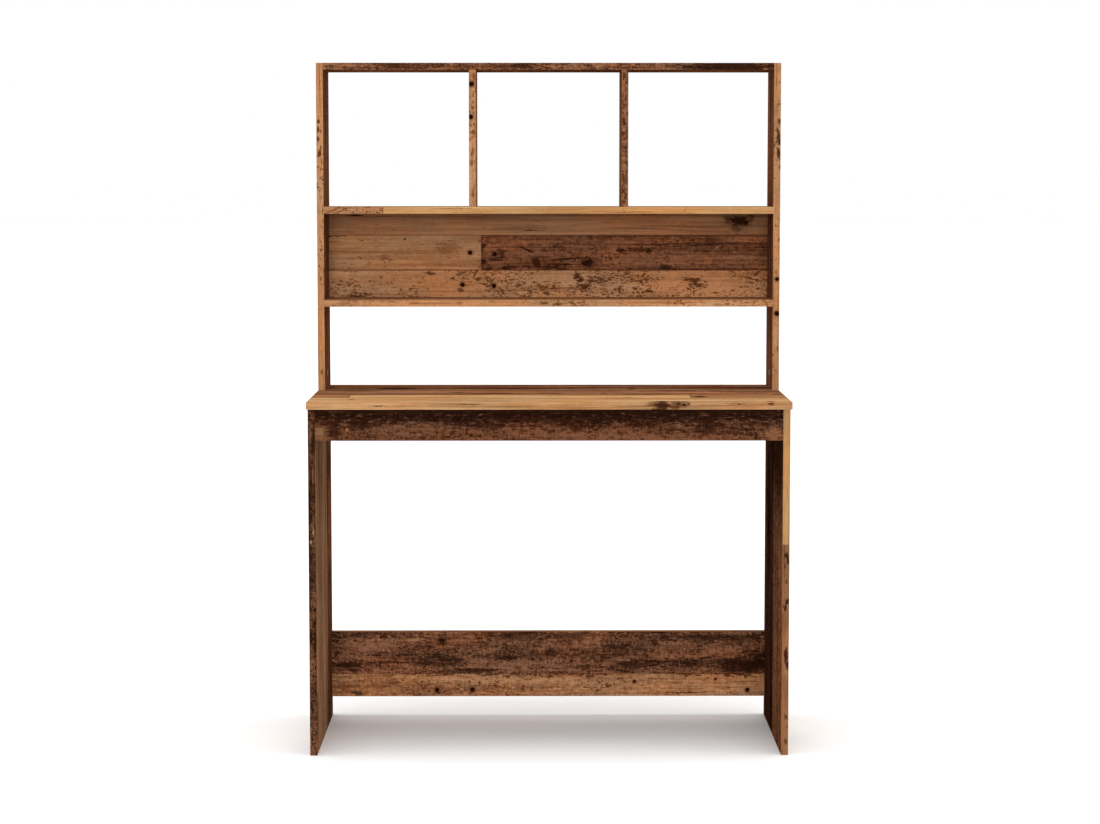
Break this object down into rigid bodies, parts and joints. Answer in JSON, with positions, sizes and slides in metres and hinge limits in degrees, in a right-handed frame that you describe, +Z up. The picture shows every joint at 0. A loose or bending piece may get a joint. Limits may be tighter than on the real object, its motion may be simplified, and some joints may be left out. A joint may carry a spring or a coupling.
{
  "type": "student desk with hutch",
  "caption": "Flat-pack desk with a worktop on side panels, a front apron and a low rear stretcher, and an open shelf hutch with cubbies along its back edge.",
  "frame": {"origin": "on the floor, under the middle of the worktop", "axes": "+X to the right end, +Y to the back, +Z up"},
  "size_m": [1.02, 0.45, 1.48],
  "materials": {
    "plank_print": "satin printed plank",
    "plank_edging": "satin printed plank",
    "die_cast_zinc": "matt cast",
    "zinc_plated_steel": "bright plated",
    "beech": "bare"
  },
  "bodies": {
    "desk": {"worktop": "plank_print", "front_apron": "plank_print", "rear_stretcher": "plank_print", "hutch_top": "plank_print", "upper_shelf": "plank_print", "lower_shelf": "plank_print", "hutch_back": "plank_print", "left_base_side": "plank_print", "left_hutch_side": "plank_print", "left_divider": "plank_print", "right_base_side": "plank_print", "right_hutch_side": "plank_print", "right_divider": "plank_print", "worktop_edging": "plank_edging", "front_apron_edging": "plank_edging", "rear_stretcher_edging": "plank_edging", "hutch_top_edging": "plank_edging", "upper_shelf_edging": "plank_edging", "lower_shelf_edging": "plank_edging", "left_base_side_edging": "plank_edging", "left_hutch_side_edging": "plank_edging", "left_divider_edging": "plank_edging", "right_base_side_edging": "plank_edging", "right_hutch_side_edging": "plank_edging", "right_divider_edging": "plank_edging", "dowels": "beech", "cam_bolts": "zinc_plated_steel", "through_bolts": "zinc_plated_steel", "divider_screws": "zinc_plated_steel"},
    "left_base_front_cam": {"left_base_front_cam": "die_cast_zinc"},
    "left_base_rear_cam": {"left_base_rear_cam": "die_cast_zinc"},
    "left_hutch_foot_cam": {"left_hutch_foot_cam": "die_cast_zinc"},
    "left_front_apron_cam": {"left_front_apron_cam": "die_cast_zinc"},
    "left_rear_stretcher_cam": {"left_rear_stretcher_cam": "die_cast_zinc"},
    "left_hutch_top_cam": {"left_hutch_top_cam": "die_cast_zinc"},
    "left_upper_shelf_cam": {"left_upper_shelf_cam": "die_cast_zinc"},
    "left_lower_shelf_cam": {"left_lower_shelf_cam": "die_cast_zinc"},
    "right_base_front_cam": {"right_base_front_cam": "die_cast_zinc"},
    "right_base_rear_cam": {"right_base_rear_cam": "die_cast_zinc"},
    "right_hutch_foot_cam": {"right_hutch_foot_cam": "die_cast_zinc"},
    "right_front_apron_cam": {"right_front_apron_cam": "die_cast_zinc"},
    "right_rear_stretcher_cam": {"right_rear_stretcher_cam": "die_cast_zinc"},
    "right_hutch_top_cam": {"right_hutch_top_cam": "die_cast_zinc"},
    "right_upper_shelf_cam": {"right_upper_shelf_cam": "die_cast_zinc"},
    "right_lower_shelf_cam": {"right_lower_shelf_cam": "die_cast_zinc"}
  },
  "joints": [
    {"name": "left_base_front_cam_turn", "type": "hinge", "parent": "desk", "child": "left_base_front_cam", "pos_m": [-0.5025, -0.11, 0.711], "axis": [1, 0, 0], "range_deg": [0, 180]},
    {"name": "left_base_rear_cam_turn", "type": "hinge", "parent": "desk", "child": "left_base_rear_cam", "pos_m": [-0.5025, 0.15, 0.711], "axis": [1, 0, 0], "range_deg": [0, 180]},
    {"name": "left_hutch_foot_cam_turn", "type": "hinge", "parent": "desk", "child": "left_hutch_foot_cam", "pos_m": [-0.5025, 0.15, 0.794], "axis": [1, 0, 0], "range_deg": [0, 180]},
    {"name": "left_front_apron_cam_turn", "type": "hinge", "parent": "desk", "child": "left_front_apron_cam", "pos_m": [-0.461, -0.1755, 0.71], "axis": [0, 1, 0], "range_deg": [0, 180]},
    {"name": "left_rear_stretcher_cam_turn", "type": "hinge", "parent": "desk", "child": "left_rear_stretcher_cam", "pos_m": [-0.461, 0.2175, 0.12], "axis": [0, 1, 0], "range_deg": [0, 180]},
    {"name": "left_hutch_top_cam_turn", "type": "hinge", "parent": "desk", "child": "left_hutch_top_cam", "pos_m": [-0.461, 0.15, 1.4725], "axis": [0, 0, 1], "range_deg": [0, 180]},
    {"name": "left_upper_shelf_cam_turn", "type": "hinge", "parent": "desk", "child": "left_upper_shelf_cam", "pos_m": [-0.461, 0.15, 1.1575], "axis": [0, 0, -1], "range_deg": [0, 180]},
    {"name": "left_lower_shelf_cam_turn", "type": "hinge", "parent": "desk", "child": "left_lower_shelf_cam", "pos_m": [-0.461, 0.15, 0.9525], "axis": [0, 0, -1], "range_deg": [0, 180]},
    {"name": "right_base_front_cam_turn", "type": "hinge", "parent": "desk", "child": "right_base_front_cam", "pos_m": [0.5025, -0.11, 0.711], "axis": [-1, 0, 0], "range_deg": [0, 180]},
    {"name": "right_base_rear_cam_turn", "type": "hinge", "parent": "desk", "child": "right_base_rear_cam", "pos_m": [0.5025, 0.15, 0.711], "axis": [-1, 0, 0], "range_deg": [0, 180]},
    {"name": "right_hutch_foot_cam_turn", "type": "hinge", "parent": "desk", "child": "right_hutch_foot_cam", "pos_m": [0.5025, 0.15, 0.794], "axis": [-1, 0, 0], "range_deg": [0, 180]},
    {"name": "right_front_apron_cam_turn", "type": "hinge", "parent": "desk", "child": "right_front_apron_cam", "pos_m": [0.461, -0.1755, 0.71], "axis": [0, 1, 0], "range_deg": [0, 180]},
    {"name": "right_rear_stretcher_cam_turn", "type": "hinge", "parent": "desk", "child": "right_rear_stretcher_cam", "pos_m": [0.461, 0.2175, 0.12], "axis": [0, 1, 0], "range_deg": [0, 180]},
    {"name": "right_hutch_top_cam_turn", "type": "hinge", "parent": "desk", "child": "right_hutch_top_cam", "pos_m": [0.461, 0.15, 1.4725], "axis": [0, 0, 1], "range_deg": [0, 180]},
    {"name": "right_upper_shelf_cam_turn", "type": "hinge", "parent": "desk", "child": "right_upper_shelf_cam", "pos_m": [0.461, 0.15, 1.1575], "axis": [0, 0, -1], "range_deg": [0, 180]},
    {"name": "right_lower_shelf_cam_turn", "type": "hinge", "parent": "desk", "child": "right_lower_shelf_cam", "pos_m": [0.461, 0.15, 0.9525], "axis": [0, 0, -1], "range_deg": [0, 180]}
  ]
}
